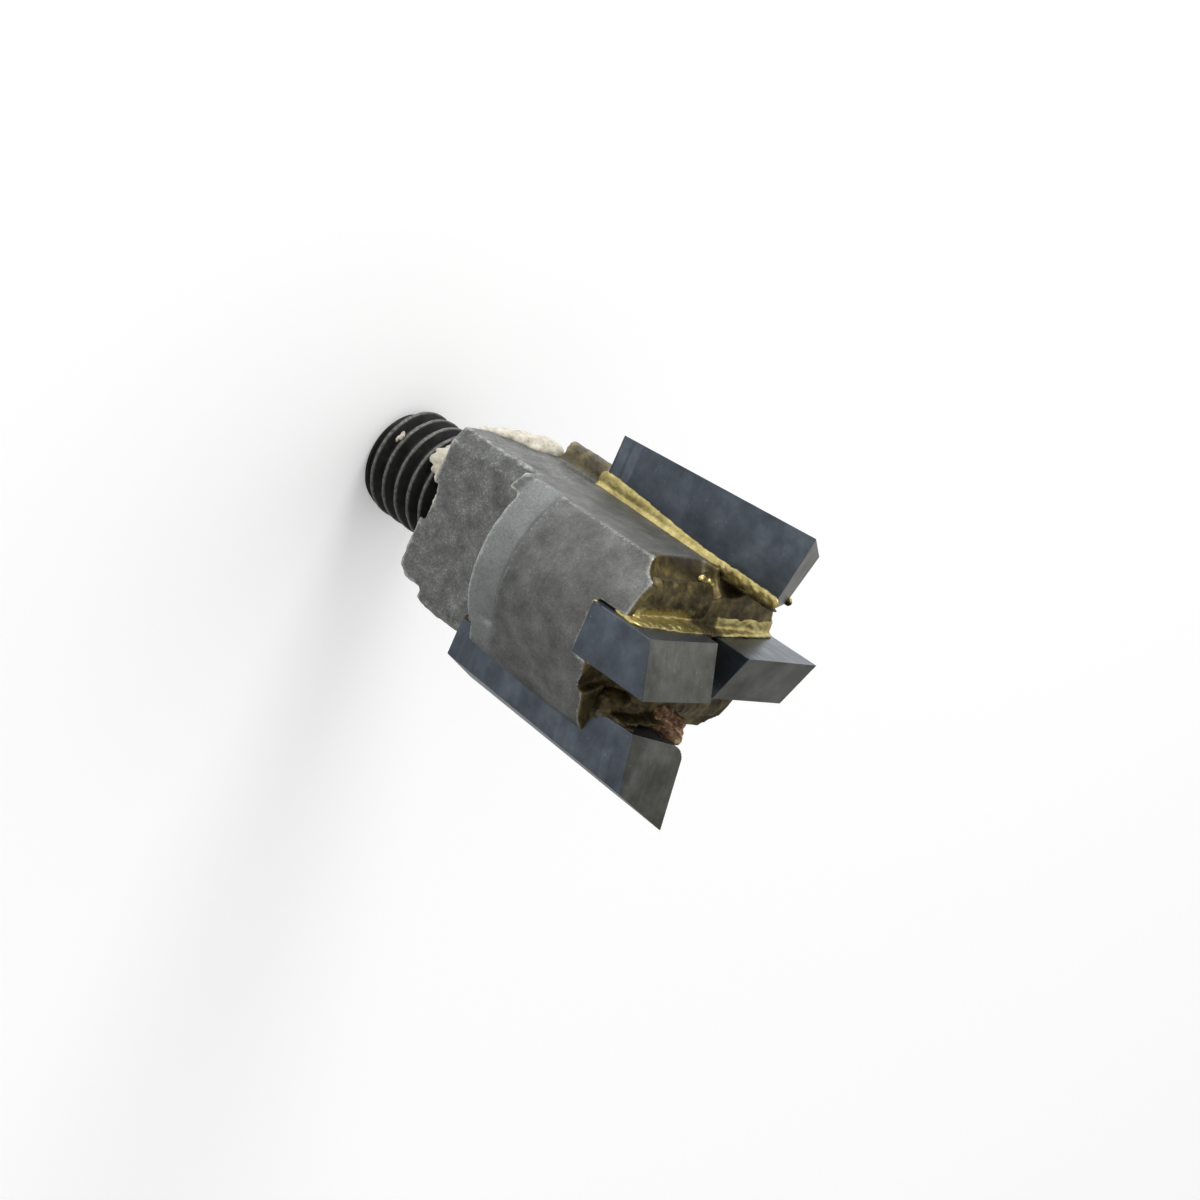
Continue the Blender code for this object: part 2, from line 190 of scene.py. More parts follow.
# The cutting end: its scoops and steps, the seats of the end tips, and the stud's tapped hole.
taken_from(body_casting, "end_scoop", scoop, both=False)
taken_from(body_casting, "root_slope",
           lambda bm: lump(bm, (6.5, -1.9, 35.7), (1.7, 2.9, 2.0), fineness=4), both=False)
taken_from(body_casting, "end_dish",
           lambda bm: lump(bm, (-6.9, -3.4, 36.4), (3.6, 6.0, 2.3), fineness=5), both=False)
taken_from(body_casting, "end_step",
           lambda bm: block(bm, (-FAR, 5.34, 33.3), (-2.1, FAR, FAR)), both=False)
taken_from(body_casting, "end_hollow",
           lambda bm: lump(bm, (-4.3, 6.7, 34.9), (2.6, 2.7, 2.2), fineness=4), both=False)
taken_from(body_casting, "end_tip_seat",
           lambda bm: block(bm, (-2.05, 0.95, 32.05), (2.4, FAR, FAR), END_TURN))
taken_from(body_casting, "stud_socket",
           lambda bm: turned(bm, [(5.6, 0), (5.6, 9.8), (5.0, 10.3), (5.0, 17.6)], 64), both=False)


def settled(piece):
    """Applies every modifier of piece and removes the cutters it used."""
    view = bpy.context.evaluated_depsgraph_get()
    view.update()
    old = piece.data
    mesh = bpy.data.meshes.new_from_object(piece.evaluated_get(view))
    piece.modifiers.clear()
    piece.data = mesh
    bpy.data.meshes.remove(old)
    for cutter in cutters:
        bpy.data.objects.remove(cutter)
    cutters.clear()
    return piece


settled(body_casting)

# The land that backs each long tip, standing a little proud of the round body.
backing_land = [(4.9, -7.7), (4.0, -5.4), (8.1, -5.0), (8.22, -5.3), (8.05, -5.85), (7.6, -6.42),
                (6.8, -7.0)]
bm = bmesh.new()
bm.from_mesh(body_casting.data)
column(bm, backing_land, 20.3, 35.1)
column(bm, backing_land, 20.3, 33.4, HALF_TURN)
bmesh.ops.recalc_face_normals(bm, faces=bm.faces)
bm.to_mesh(body_casting.data)
bm.free()


def remeshed(piece, voxel, factor, rounds):
    """Skins piece over with small even faces and rounds its edges a little."""
    skin = piece.modifiers.new("skin", "REMESH")
    skin.mode = "VOXEL"
    skin.voxel_size = voxel * MM
    soften = piece.modifiers.new("soften", "SMOOTH")
    soften.factor = factor
    soften.iterations = rounds
    return settled(piece)


def without_crumbs(piece):
    """Deletes every loose scrap and keeps the largest connected body."""
    bm = bmesh.new()
    bm.from_mesh(piece.data)
    left, bodies = set(bm.verts), []
    while left:
        body, edge = set(), [left.pop()]
        while edge:
            v = edge.pop()
            body.add(v)
            for e in v.link_edges:
                other = e.other_vert(v)
                if other in left:
                    left.remove(other)
                    edge.append(other)
        bodies.append(body)
    bodies.sort(key=len)
    for body in bodies[:-1]:
        bmesh.ops.delete(bm, geom=list(body), context="VERTS")
    bm.to_mesh(piece.data)
    bm.free()


remeshed(body_casting, 0.18, 0.5, 3)
without_crumbs(body_casting)


def places_and_normals(piece):
    count = len(piece.data.vertices)
    places, normals = np.empty(count * 3, np.float32), np.empty(count * 3, np.float32)
    piece.data.vertices.foreach_get("co", places)
    piece.data.vertex_normals.foreach_get("vector", normals)
    return places.reshape(-1, 3), normals.reshape(-1, 3)


def roughened(piece, amount):
    """Moves each vertex along its normal by amount(place in mm, normal), in mm."""
    places, normals = places_and_normals(piece)
    steps = np.array([amount(Vector(p) / MM, n) for p, n in zip(places, normals)], np.float32)
    places += normals * steps[:, None] * MM
    piece.data.vertices.foreach_set("co", places.ravel())
    piece.data.update()


def soft_step(low, high, x):
    t = min(max((x - low) / (high - low), 0.0), 1.0)
    return t * t * (3 - 2 * t)


def blasted_skin(p, n):
    """Slow waves of the casting, its pits, and coarser lumps on the collar."""
    collar = 1 - soft_step(19.0, 20.5, p.z)
    slow = noise.noise(p / 3.1) * 0.045
    pits = noise.fractal(p / 0.6, 0.7, 2.0, 4) * (0.014 + 0.040 * collar)
    coarse = noise.noise(p / 1.2 + Vector((7, 3, 1))) * 0.060 * collar
    hollows = 0.06 * noise.noise(p / 0.9) * soft_step(32.0, 33.0, p.z) * soft_step(0.2, 0.7, n[2])
    return slow + pits + coarse + hollows


def proud_edges(piece, rounds, full):
    """How far each vertex stands above its surroundings, as a share of full mm."""
    pairs = np.empty(len(piece.data.edges) * 2, np.int32)
    piece.data.edges.foreach_get("vertices", pairs)
    a, b = pairs.reshape(-1, 2).T
    places, normals = places_and_normals(piece)
    count = np.bincount(pairs, minlength=len(places))[:, None]
    smooth = places.astype(np.float64)
    for _ in range(rounds):
        total = np.zeros_like(smooth)
        np.add.at(total, a, smooth[b])
        np.add.at(total, b, smooth[a])
        smooth = total / count
    proud = ((places - smooth) * normals).sum(axis=1) / (full * MM)
    layer = piece.data.attributes.new("proud", "FLOAT", "POINT")
    layer.data.foreach_set("value", np.clip(proud, -1, 1).astype(np.float32))


roughened(body_casting, blasted_skin)
proud_edges(body_casting, 8, 0.16)


def marked(piece, name, value):
    """Stores value(place in mm, normal) on each vertex."""
    places, normals = places_and_normals(piece)
    layer = piece.data.attributes.new(name, "FLOAT", "POINT")
    layer.data.foreach_set("value", [value(Vector(p) / MM, n) for p, n in zip(places, normals)])


def torch_stain(p, n):
    """Brown and gold where the torch played: the front faces and the hollows at the cutting end."""
    front = soft_step(0.10, 0.55, n[2]) * soft_step(31.6, 32.8, p.z)
    inside = soft_step(31.9, 32.8, p.z) * (1 - soft_step(8.7, 9.0, math.hypot(p.x, p.y)))
    behind_tip = 0.75 * soft_step(6.6, 6.8, p.x) * soft_step(-2.3, -2.7, p.y) * soft_step(12.0, 13.0, p.z)
    return min(max(front, inside, behind_tip), 1.0)


def band_wear_and_highlight(p, n):
    """The shoulder band behind the cutting half, painted lighter than the rest: partly rubbing wear,
    partly a painted highlight for light falling on the sloping shoulder.
    """
    along = soft_step(19.2, 19.9, p.z) * soft_step(23.2, 22.2, p.z)
    return along * soft_step(8.5, 8.9, math.hypot(p.x, p.y))


marked(body_casting, "stain", torch_stain)
marked(body_casting, "band", band_wear_and_highlight)


def paint(colour):
    """A hex sRGB colour as linear RGBA."""
    parts = [int(colour[k:k + 2], 16) / 255 for k in (0, 2, 4)]
    return (*[c / 12.92 if c <= 0.04045 else ((c + 0.055) / 1.055) ** 2.4 for c in parts], 1.0)


def add(tree, kind, settings=None, links=None):
    """A node of this kind, with attributes or input values from settings and inputs from links."""
    made = tree.nodes.new(kind)
    for key, value in (settings or {}).items():
        if key == "stops":
            while len(made.color_ramp.elements) < len(value):
                made.color_ramp.elements.new(0.5)
            for element, (position, colour) in zip(made.color_ramp.elements, value):
                element.position = position
                element.color = paint(colour)
        elif isinstance(key, str) and hasattr(made, key):
            setattr(made, key, value)
        else:
            made.inputs[key].default_value = value
    for key, source in (links or {}).items():
        tree.links.new(source, made.inputs[key])
    return made


def new_finish(name):
    """A new material, its node tree and its shader."""
    made = bpy.data.materials.new(name)
    made.use_nodes = True
    return made, made.node_tree, made.node_tree.nodes["Principled BSDF"]


def dressed(piece, *materials, node=None, slot):
    """Gives piece its materials and its body, and hides the CAD node that it replaces. The slot argument
    is not used.
    """
    for material in materials:
        piece.data.materials.append(material)
    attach(piece, "root")
    if node:
        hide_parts(node)


# Blasted steel casting: matt and grainy, with a mottled grey skin, bright specks along its edges, a
# painted highlight on the shoulder band as well as its wear, painted glints over the collar, and a brown
# and gold stain where it was brazed.
cast_steel, tree, shader = new_finish("blasted_cast_steel")
place = add(tree, "ShaderNodeTexCoord").outputs["Object"]
proud = add(tree, "ShaderNodeAttribute", {"attribute_name": "proud"}).outputs["Fac"]
stain = add(tree, "ShaderNodeAttribute", {"attribute_name": "stain"}).outputs["Fac"]
mottle = add(tree, "ShaderNodeTexNoise", {"Scale": 1 / (1.9 * MM), "Detail": 6.0, "Roughness": 0.62},
             {"Vector": place}).outputs["Fac"]
grit = add(tree, "ShaderNodeTexNoise", {"Scale": 1 / (0.17 * MM), "Detail": 3.0, "Roughness": 0.7},
           {"Vector": place}).outputs["Fac"]
skin = add(tree, "ShaderNodeValToRGB",
           {"stops": [(0.28, "5c5d5b"), (0.50, "717270"), (0.74, "888986")]}, {"Fac": mottle})
speck = add(tree, "ShaderNodeValToRGB",
            {"stops": [(0.30, "606060"), (0.50, "7f7f7f"), (0.74, "adadab")]}, {"Fac": grit})
grained = add(tree, "ShaderNodeMix", {"data_type": "RGBA", "blend_type": "OVERLAY", 0: 0.55},
              {6: skin.outputs[0], 7: speck.outputs[0]})
broken = add(tree, "ShaderNodeMath", {"operation": "MULTIPLY_ADD", 1: 0.9, 2: -0.50}, {0: grit})
rubbed = add(tree, "ShaderNodeMath", {"operation": "ADD"}, {0: proud, 1: broken.outputs[0]})
rub = add(tree, "ShaderNodeMapRange", {"From Min": 0.22, "From Max": 1.0, "To Max": 0.85},
          {"Value": rubbed.outputs[0]}).outputs[0]
# The shoulder band is painted lighter: partly its rubbing wear, partly a painted highlight for light on
# the sloping shoulder.
band = add(tree, "ShaderNodeAttribute", {"attribute_name": "band"}).outputs["Fac"]
lighter = add(tree, "ShaderNodeMath", {"operation": "MULTIPLY"}, {0: band, 1: grit})
banded = add(tree, "ShaderNodeMix", {"data_type": "RGBA", 7: paint("858989")},
             {0: lighter.outputs[0], 6: grained.outputs[2]})
# Painted glints: sparse bright specks of painted highlight, mostly on the collar, standing in for light
# caught by its rough blasted grain.
height = add(tree, "ShaderNodeSeparateXYZ", None, {"Vector": place}).outputs["Z"]
on_collar = add(tree, "ShaderNodeMapRange",
                {"From Min": 21.0 * MM, "From Max": 18.5 * MM, "To Min": 0.15, "To Max": 1.0},
                {"Value": height})
sparkle = add(tree, "ShaderNodeTexNoise", {"Scale": 1 / (0.19 * MM), "Detail": 3.0, "Roughness": 0.8},
              {"Vector": place}).outputs["Fac"]
peaks = add(tree, "ShaderNodeMapRange", {"From Min": 0.50, "From Max": 0.78, "To Max": 0.95},
            {"Value": sparkle})
clustered = add(tree, "ShaderNodeMapRange",
                {"From Min": 0.38, "From Max": 0.66, "To Min": 0.15, "To Max": 0.80}, {"Value": mottle})
thinned = add(tree, "ShaderNodeMath", {"operation": "MULTIPLY"},
              {0: peaks.outputs[0], 1: clustered.outputs[0]})
painted_glint = add(tree, "ShaderNodeMath", {"operation": "MULTIPLY"},
            {0: on_collar.outputs[0], 1: thinned.outputs[0]})
with_painted_glints = add(tree, "ShaderNodeMix", {"data_type": "RGBA", 7: paint("b4b8b8")},
               {0: painted_glint.outputs[0], 6: banded.outputs[2]})
bright = add(tree, "ShaderNodeMix", {"data_type": "RGBA", 7: paint("bcbebb")},
             {0: rub, 6: with_painted_glints.outputs[2]})
blotch = add(tree, "ShaderNodeTexNoise", {"Scale": 1 / (1.6 * MM), "Detail": 6.0, "Roughness": 0.6},
             {"Vector": place}).outputs["Fac"]
burnt = add(tree, "ShaderNodeValToRGB",
            {"stops": [(0.30, "302a1d"), (0.44, "4a412c"), (0.57, "655a3d"), (0.72, "8c7d4c")]},
            {"Fac": blotch})
stained = add(tree, "ShaderNodeMix", {"data_type": "RGBA"},
              {0: stain, 6: bright.outputs[2], 7: burnt.outputs[0]})
tree.links.new(stained.outputs[2], shader.inputs["Base Color"])
dull = add(tree, "ShaderNodeMapRange", {"To Min": 0.55, "To Max": 0.36}, {"Value": rub})
tree.links.new(dull.outputs[0], shader.inputs["Roughness"])
shader.inputs["Metallic"].default_value = 0.85
dents = add(tree, "ShaderNodeBump", {"Strength": 0.45, "Distance": 0.025 * MM}, {"Height": grit})
tree.links.new(dents.outputs["Normal"], shader.inputs["Normal"])

body_casting.data.shade_smooth()
dressed(body_casting, cast_steel, node="cutter_body", slot="body_steel")


# --- Threaded stud ----------------------------------------------------------------------------
# Black-oxide steel with a coarse right-hand thread and a chamfered end, screwed into the body.
# The crests are rubbed bright along their edges.

STUD_RADIUS = 4.725
CORE_RADIUS = 3.86
STUD_END = 17.2
STUD_CHAMFER = 0.70 * MM
PITCH = 1.5875 * MM
THREAD_DEPTH = 0.86 * MM
THREAD_START = 0.30 * MM
THREAD_LENGTH = 9.0
THREAD_ROWS = 96

bm = bmesh.new()
thread = [(STUD_RADIUS, THREAD_LENGTH * k / THREAD_ROWS) for k in range(THREAD_ROWS + 1)]
turned(bm, thread + [(CORE_RADIUS, 9.3), (CORE_RADIUS, STUD_END)], 144)
crest = bm.verts.layers.float.new("crest")
for v in bm.verts:
    reach = math.hypot(v.co.x, v.co.y)
    if reach < 4 * MM:
        continue
    turn = math.atan2(v.co.y, v.co.x) / (2 * math.pi)
    ridge = abs(((v.co.z - THREAD_START) / PITCH - turn) % 1.0 - 0.5) * 2
    share = min(max((ridge - 0.16) / 0.66, 0.0), 1.0)
    nick = 0.04 * MM * max(noise.noise(v.co / (0.8 * MM)) - 0.25, 0)
    chamfered = STUD_RADIUS * MM - STUD_CHAMFER + v.co.z
    radius = min(STUD_RADIUS * MM - THREAD_DEPTH * share - nick, chamfered)
    v.co.x *= radius / reach
    v.co.y *= radius / reach
    v[crest] = soft_step(0.30, 0.14, ridge) if ridge < 0.3 else 0.0
threaded_stud = new_object("stud_thread", bm)
threaded_stud.data.shade_smooth()

# Black-oxide steel: a near-black, slightly sooty skin with a low sheen, rubbed through to grey
# steel along the thread's crests.
black_oxide, tree, shader = new_finish("black_oxide_steel")
place = add(tree, "ShaderNodeTexCoord").outputs["Object"]
top = add(tree, "ShaderNodeAttribute", {"attribute_name": "crest"}).outputs["Fac"]
soot = add(tree, "ShaderNodeTexNoise", {"Scale": 1 / (0.9 * MM), "Detail": 5.0, "Roughness": 0.65},
           {"Vector": place}).outputs["Fac"]
fleck = add(tree, "ShaderNodeTexNoise", {"Scale": 1 / (0.3 * MM), "Detail": 3.0},
            {"Vector": place}).outputs["Fac"]
skin = add(tree, "ShaderNodeValToRGB",
           {"stops": [(0.30, "151514"), (0.55, "20201f"), (0.75, "2e2d2a")]}, {"Fac": soot})
worn_top = add(tree, "ShaderNodeMath", {"operation": "MULTIPLY"}, {0: top, 1: fleck})
rub = add(tree, "ShaderNodeMapRange", {"From Min": 0.12, "From Max": 0.85},
          {"Value": worn_top.outputs[0]})
rubbed = add(tree, "ShaderNodeMix", {"data_type": "RGBA", 7: paint("767672")},
             {0: rub.outputs[0], 6: skin.outputs[0]})
tree.links.new(rubbed.outputs[2], shader.inputs["Base Color"])
dull = add(tree, "ShaderNodeMapRange", {"To Min": 0.40, "To Max": 0.60}, {"Value": soot})
tree.links.new(dull.outputs[0], shader.inputs["Roughness"])
shader.inputs["Metallic"].default_value = 0.75
dents = add(tree, "ShaderNodeBump", {"Strength": 0.4, "Distance": 0.02 * MM}, {"Height": fleck})
tree.links.new(dents.outputs["Normal"], shader.inputs["Normal"])
dressed(threaded_stud, black_oxide, node="threaded_stud", slot="stud_steel")


# --- Sealing cement ---------------------------------------------------------------------------
# Cream cement that squeezed out round the root of the stud and set hard, with a spill of it on
# the side of the collar and a fleck left on the thread.

BEAD_RADIUS = 4.85
BEAD_LUMPS = 60


def lumps(bm, shapes, fineness=3):
    """Several ellipsoids, each a middle and half axes in mm, added to bm."""
    for middle, radii in shapes:
        lump(bm, middle, radii, fineness=fineness)


bm = bmesh.new()
for k in range(BEAD_LUMPS):
    angle = 2 * math.pi * k / BEAD_LUMPS
    middle = (BEAD_RADIUS * math.cos(angle), BEAD_RADIUS * math.sin(angle), 9.9)
    lump(bm, middle, (0.5, 0.5, 0.3), fineness=2)
lumps(bm, (((2.1, 4.4, 8.2), (0.45, 0.3, 0.8)), ((2.7, 4.1, 7.6), (0.55, 0.35, 1.1)),
           ((3.3, 3.8, 7.9), (0.55, 0.4, 1.4)), ((3.9, 3.3, 8.2), (0.55, 0.5, 1.2)),
           ((1.8, 4.6, 8.8), (0.6, 0.4, 0.5)), ((3.0, 4.5, 8.9), (1.0, 0.6, 0.4)),
           ((4.3, 4.2, 9.1), (0.6, 0.9, 0.25)), ((2.5, 5.0, 9.1), (0.8, 0.5, 0.25)),
           ((3.5, 2.8, 9.3), (1.6, 2.0, 0.3))))
stud_seal = remeshed(new_object("stud_seal", bm), 0.12, 0.5, 3)
roughened(stud_seal, lambda p, n: 0.10 * noise.fractal(p / 0.55, 0.8, 2.0, 4) - 0.02)

bm = bmesh.new()
lumps(bm, (((6.5, 1.6, 9.1), (0.3, 1.2, 0.5)), ((6.6, 0.2, 9.7), (0.55, 1.6, 0.9)),
           ((6.65, -1.0, 10.5), (0.75, 1.6, 1.1)), ((6.7, -2.2, 11.4), (0.85, 1.5, 1.2)),
           ((6.7, -3.1, 12.0), (0.85, 1.2, 1.1)), ((6.6, -1.6, 11.9), (0.45, 1.2, 0.8)),
           ((6.6, -3.8, 10.6), (0.7, 1.0, 1.4))), fineness=4)
collar_spill = remeshed(new_object("collar_spill", bm), 0.12, 0.6, 12)
roughened(collar_spill, lambda p, n: 0.05 * noise.fractal(p / 0.9, 0.9, 2.0, 3))

bm = bmesh.new()
lumps(bm, (((2.72, 3.98, 2.65), (0.42, 0.20, 0.20)), ((2.35, 4.2, 2.5), (0.30, 0.16, 0.14))))
thread_fleck = remeshed(new_object("thread_fleck", bm), 0.06, 0.5, 2)
roughened(thread_fleck, lambda p, n: 0.05 * noise.fractal(p / 0.25, 0.8, 2.0, 3))

# Set cement: dull, chalky and cream, with darker cloudy patches and a crumbly grain.
set_cement, tree, shader = new_finish("set_cement")
place = add(tree, "ShaderNodeTexCoord").outputs["Object"]
cloud = add(tree, "ShaderNodeTexNoise", {"Scale": 1 / (0.8 * MM), "Detail": 5.0, "Roughness": 0.7},
            {"Vector": place}).outputs["Fac"]
crumb = add(tree, "ShaderNodeTexNoise", {"Scale": 1 / (0.2 * MM), "Detail": 2.0},
            {"Vector": place}).outputs["Fac"]
skin = add(tree, "ShaderNodeValToRGB",
           {"stops": [(0.28, "7f796a"), (0.46, "aea897"), (0.66, "ccc8bb")]}, {"Fac": cloud})
tree.links.new(skin.outputs[0], shader.inputs["Base Color"])
shader.inputs["Roughness"].default_value = 0.6
pits = add(tree, "ShaderNodeBump", {"Strength": 0.5, "Distance": 0.04 * MM}, {"Height": crumb})
tree.links.new(pits.outputs["Normal"], shader.inputs["Normal"])
for piece, node in ((stud_seal, "stud_cement_ring"), (collar_spill, None), (thread_fleck, None)):
    piece.data.shade_smooth()
    dressed(piece, set_cement, node=node, slot="cement")


# --- Carbide tips -----------------------------------------------------------------------------
# Pressed and sintered tungsten carbide, diamond ground to sharp edges. The long faces are dark
# blue-grey from the heat of brazing, and the end faces are freshly ground and lighter.

CUTTER_RADIUS = 12.5
SIDE_LENGTH = 22
SIDE_ROOT = 5.95
SIDE_THICK = 4.1
SIDE_CLEARANCE = 2
END_CLEARANCE = 2.2
SIDE_BACK_RADIUS = CUTTER_RADIUS - SIDE_LENGTH * math.tan(math.radians(3.55))
SIDE_DISH = (CUTTER_RADIUS - SIDE_ROOT) * math.tan(math.radians(9.2))
END_RAKE, END_BACK = 2.31, -1.95
END_INNER, END_OUTER = 1.13, 9.52
END_FOOT = 32.2
EDGE_BREAK = 0.05


def ground_tip(name, low, high, place, nick, rounded=None):
    """A block through two rings of corners in mm, its edges barely broken and its corner rounded
    off where rounded names one. Its top face has the second material."""
    bm = bmesh.new()
    first, second = ([bm.verts.new(Vector(p) * MM) for p in ring] for ring in (low, high))
    bm.faces.new(first)
    bm.faces.new(second).material_index = 1
    bmesh.ops.bridge_loops(bm, edges=bm.edges)
    bmesh.ops.recalc_face_normals(bm, faces=bm.faces)
    if rounded is not None:
        corner = bm.edges.get((first[rounded], second[rounded]))
        bmesh.ops.bevel(bm, geom=[corner], offset=0.9 * MM, affect="EDGES", segments=6, profile=0.5,
                        material=-1)
    bmesh.ops.bevel(bm, geom=bm.edges, offset=EDGE_BREAK * MM, affect="EDGES", segments=2, profile=0.5,
                    material=-1)
    long_way = [e for e in bm.edges
                if abs(e.verts[0].co.z - e.verts[1].co.z) > 0.85 * e.calc_length() > 3 * MM]
    bmesh.ops.subdivide_edges(bm, edges=long_way, cuts=70, use_grid_fill=True)
    flat = {v for f in bm.faces if f.calc_area() > 0.2 * MM * MM for v in f.verts}
    for v in set(bm.verts) - flat:
        v.co -= v.normal * nick * MM * max(noise.noise(v.co / (0.4 * MM)) - 0.1, 0)
    bmesh.ops.transform(bm, matrix=place, verts=bm.verts)
    tip = new_object(name, bm)
    tip.data.shade_smooth()
    tip.data.set_sharp_from_angle(angle=math.radians(22))
    return tip


side_low = [(SIDE_BACK_RADIUS, 0, -SIDE_LENGTH),
            (SIDE_BACK_RADIUS - SIDE_CLEARANCE, -SIDE_THICK, -SIDE_LENGTH),
            (SIDE_ROOT, -SIDE_THICK, -SIDE_LENGTH), (SIDE_ROOT, 0, -SIDE_LENGTH)]
side_high = [(CUTTER_RADIUS, 0, 0), (CUTTER_RADIUS - SIDE_CLEARANCE, -SIDE_THICK, -END_CLEARANCE),
             (SIDE_ROOT, -SIDE_THICK, -END_CLEARANCE - SIDE_DISH), (SIDE_ROOT, 0, -SIDE_DISH)]
end_ring = [(END_BACK, END_INNER), (END_RAKE, END_INNER), (END_RAKE, END_OUTER), (END_BACK, END_OUTER)]
end_low = [(x, y, END_FOOT) for x, y in end_ring]
end_high = [(x, y, z) for (x, y), z in zip(end_ring, (39.8, 38.17, 38.45, 40.08))]


def carbide(name, dark, mid, light, along, streak, roughness):
    """Dense and fine grained: satin with wheel marks along one direction, and a few bright specks."""
    made, tree, shader = new_finish(name)
    place = add(tree, "ShaderNodeTexCoord").outputs["Object"]
    cloud = add(tree, "ShaderNodeTexNoise", {"Scale": 1 / (2.6 * MM), "Detail": 6.0, "Roughness": 0.62},
                {"Vector": place}).outputs["Fac"]
    stretch = add(tree, "ShaderNodeMapping", {"Scale": along}, {"Vector": place}).outputs[0]
    marks = add(tree, "ShaderNodeTexNoise", {"Scale": 1 / (0.5 * MM), "Detail": 4.0, "Roughness": 0.7},
                {"Vector": stretch}).outputs["Fac"]
    dust = add(tree, "ShaderNodeTexNoise", {"Scale": 1 / (0.3 * MM), "Detail": 2.0},
               {"Vector": place}).outputs["Fac"]
    skin = add(tree, "ShaderNodeValToRGB", {"stops": [(0.30, dark), (0.52, mid), (0.74, light)]},
               {"Fac": cloud})
    lines = add(tree, "ShaderNodeValToRGB",
                {"stops": [(0.32, "6c6c6c"), (0.50, "808080"), (0.68, "959595")]}, {"Fac": marks})
    brushed = add(tree, "ShaderNodeMix", {"data_type": "RGBA", "blend_type": "OVERLAY", 0: streak},
                  {6: skin.outputs[0], 7: lines.outputs[0]})
    specks = add(tree, "ShaderNodeMapRange", {"From Min": 0.71, "From Max": 0.76, "To Max": 0.35},
                 {"Value": dust})
    dusted = add(tree, "ShaderNodeMix", {"data_type": "RGBA", 7: paint("8f9192")},
                 {0: specks.outputs[0], 6: brushed.outputs[2]})
    tree.links.new(dusted.outputs[2], shader.inputs["Base Color"])
    dull = add(tree, "ShaderNodeMapRange",
               {"From Min": 0.3, "From Max": 0.7, "To Min": roughness - 0.07, "To Max": roughness + 0.08},
               {"Value": marks})
    tree.links.new(dull.outputs[0], shader.inputs["Roughness"])
    shader.inputs["Metallic"].default_value = 0.9
    ridges = add(tree, "ShaderNodeBump", {"Strength": 0.3, "Distance": 0.01 * MM}, {"Height": marks})
    tree.links.new(ridges.outputs["Normal"], shader.inputs["Normal"])
    return made


# The long faces keep the blue-grey heat tint and faint grinding lines up the tip. The end faces are
# paler, with stronger lines across them, and the lines are coarser than real ones so that they show.
side_face = carbide("heat_tinted_carbide", "444a51", "535a62", "666d75", (1.0, 1.0, 0.15), 0.3, 0.38)
end_face = carbide("ground_carbide_end", "595a55", "70716b", "888982", (0.15, 1.0, 1.0), 0.7, 0.42)

for letter, turn in (("a", Matrix.Identity(4)), ("b", HALF_TURN)):
    rounded = 3 if letter == "b" else None
    tip = ground_tip("side_carbide_" + letter, side_low, side_high, turn @ TIP_FRAME, 0.12, rounded)
    dressed(tip, side_face, end_face, node="side_tip_" + letter, slot="side_carbide")
for letter, turn in (("c", END_TURN), ("d", HALF_TURN @ END_TURN)):
    tip = ground_tip("end_carbide_" + letter, end_low, end_high, turn, 0.12)
    dressed(tip, side_face, end_face, node="end_tip_" + letter, slot="end_carbide")


# --- Braze ------------------------------------------------------------------------------------
# Yellow brass braze, melted into every joint between carbide and steel. It stands as a bright
# fillet along each rake face, and ran into brown, lumpy runs at the cutting end.

BEAD_STEP = 0.16
NUGGET_RADII = (0.34, 0.36, 0.30)
FILLET_STEP = 0.25
FILLET_END = 8.5


def fillet(bm, place, start, end, shape):
    """Overlapping lumps along Z. shape(z) gives each one's middle in X and Y and its half axes."""
    z = start
    while z < end:
        (x, y), (wide, thick) = shape(z)
        wander = 1 + 0.06 * noise.noise(Vector((x, y, z * 0.8)))
        lump(bm, (x, y, z), (wide * wander, thick * wander, 0.8), place, fineness=2)
        z += BEAD_STEP


def rake_fillet(z):
    """Along the gullet floor it climbs the rake face higher towards the back end."""
    top = 7.2 + 0.8 * (1 - soft_step(-22, -8, z))
    low = 6.25 - 0.15 * soft_step(-9, -7, z)
    return ((top + low) / 2, 0.0), ((top - low) / 2, 0.20)


def side_joint(letter, place):
    """One long tip's braze: its rake fillet, the throat below that, and the film under the tip."""
    bm = bmesh.new()
    fillet(bm, place, -22.0, -1.3 if letter == "a" else -5.0, rake_fillet)
    fillet(bm, place, -22.0, -8.2, lambda z: ((6.5, 0.12), (0.25, 0.40)))
    fillet(bm, place, -21.8, -5.4, lambda z: ((5.9, -2.0), (0.28, 2.2)))
    return bm


